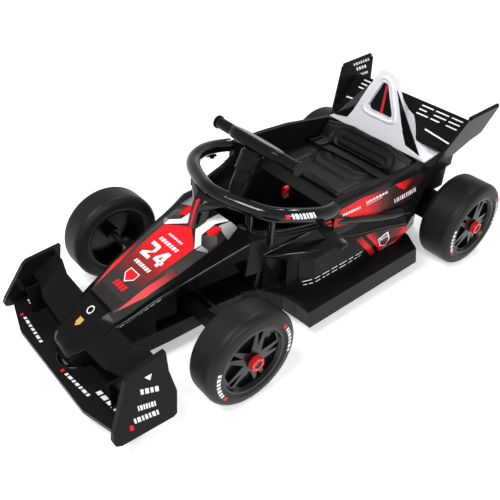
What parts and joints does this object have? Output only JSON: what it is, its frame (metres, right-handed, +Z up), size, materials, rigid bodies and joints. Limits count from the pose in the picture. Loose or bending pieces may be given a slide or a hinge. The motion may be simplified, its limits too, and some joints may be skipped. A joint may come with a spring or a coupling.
{
  "type": "child's ride-on toy racing car",
  "caption": "Child's electric ride-on car shaped like an open wheel racing car, with wings, halo ring, seat and steerable front wheels.",
  "frame": {"origin": "on the floor, under the middle of the car's overall length and width", "axes": "+X to the front of the car, +Y to the driver's left, +Z up"},
  "size_m": [1.27, 0.662, 0.4913],
  "materials": {
    "black_plastic": "satin",
    "mesh_black": "matte",
    "webbing": "matte",
    "gloss_black": "gloss",
    "tyre_plastic": "matte",
    "red_plastic": "satin",
    "white_plastic": "satin",
    "steel": "satin",
    "black_leather": "satin"
  },
  "bodies": {
    "chassis": {"back_cushion": "black_leather", "battery_block": "black_plastic", "chassis_tub": "black_plastic", "cockpit_surround": "black_plastic", "column_boot": "black_plastic", "foot_pedal": "black_plastic", "front_axle_beam": "steel", "front_endplate_left": "black_plastic", "front_endplate_right": "black_plastic", "front_flap_left": "black_plastic", "front_flap_right": "black_plastic", "front_wing_plane": "gloss_black", "gearbox_left": "black_plastic", "gearbox_right": "black_plastic", "halo": "gloss_black", "hood": "black_plastic", "hoop_mesh": "mesh_black", "hoop_panel_left": "black_plastic", "hoop_panel_right": "black_plastic", "mirror_left": "black_plastic", "mirror_right": "black_plastic", "nose_tip": "gloss_black", "rear_axle": "steel", "rear_endplate_left": "black_plastic", "rear_endplate_right": "black_plastic", "rear_wing_plane": "black_plastic", "roll_hoop": "white_plastic", "seat_base": "black_plastic", "seat_belt": "webbing", "seat_cushion": "black_leather", "sidepod_left": "black_plastic", "sidepod_right": "black_plastic", "skirt_left": "black_plastic", "skirt_right": "black_plastic", "start_switch": "red_plastic", "tail_cover": "black_plastic"},
    "wheel_front_left": {"tyre_front_left": "tyre_plastic", "rim_front_left": "gloss_black", "hub_nut_front_left": "red_plastic"},
    "wheel_front_right": {"tyre_front_right": "tyre_plastic", "rim_front_right": "gloss_black", "hub_nut_front_right": "red_plastic"},
    "wheel_rear_left": {"tyre_rear_left": "tyre_plastic", "rim_rear_left": "gloss_black", "hub_nut_rear_left": "red_plastic"},
    "wheel_rear_right": {"tyre_rear_right": "tyre_plastic", "rim_rear_right": "gloss_black", "hub_nut_rear_right": "red_plastic"},
    "steering": {"steering_column": "steel", "handlebar": "black_plastic"},
    "knuckle_left": {"knuckle_left": "steel"},
    "knuckle_right": {"knuckle_right": "steel"},
    "tie_rod": {"tie_rod": "steel"}
  },
  "joints": [
    {"name": "steering", "type": "hinge", "parent": "chassis", "child": "steering", "pos_m": [0.046, 0, 0.412], "axis": [-0.4462, 0, 0.8949], "range_deg": [-35, 35]},
    {"name": "knuckle_left_steer", "type": "hinge", "parent": "chassis", "child": "knuckle_left", "pos_m": [0.304, 0.205, 0.124], "axis": [0, 0, 1], "range_deg": [-25, 25]},
    {"name": "knuckle_right_steer", "type": "hinge", "parent": "chassis", "child": "knuckle_right", "pos_m": [0.304, -0.205, 0.124], "axis": [0, 0, 1], "range_deg": [-25, 25]},
    {"name": "tie_rod_swing", "type": "hinge", "parent": "knuckle_left", "child": "tie_rod", "pos_m": [0.254, 0.205, 0.1057], "axis": [0, 0, 1], "range_deg": [-25, 25]},
    {"name": "wheel_front_left_spin", "type": "hinge", "parent": "knuckle_left", "child": "wheel_front_left", "pos_m": [0.304, 0.28, 0.124], "axis": [0, 1, 0], "continuous": true},
    {"name": "wheel_front_right_spin", "type": "hinge", "parent": "knuckle_right", "child": "wheel_front_right", "pos_m": [0.304, -0.28, 0.124], "axis": [0, 1, 0], "continuous": true},
    {"name": "wheel_rear_left_spin", "type": "hinge", "parent": "chassis", "child": "wheel_rear_left", "pos_m": [-0.506, 0.28, 0.124], "axis": [0, 1, 0], "continuous": true},
    {"name": "wheel_rear_right_spin", "type": "hinge", "parent": "chassis", "child": "wheel_rear_right", "pos_m": [-0.506, -0.28, 0.124], "axis": [0, 1, 0], "continuous": true}
  ],
  "couplings": [
    {"joint": "knuckle_left_steer", "follows": "steering", "ratio": 0.7},
    {"joint": "knuckle_right_steer", "follows": "steering", "ratio": 0.7},
    {"joint": "tie_rod_swing", "follows": "steering", "ratio": -0.7}
  ]
}
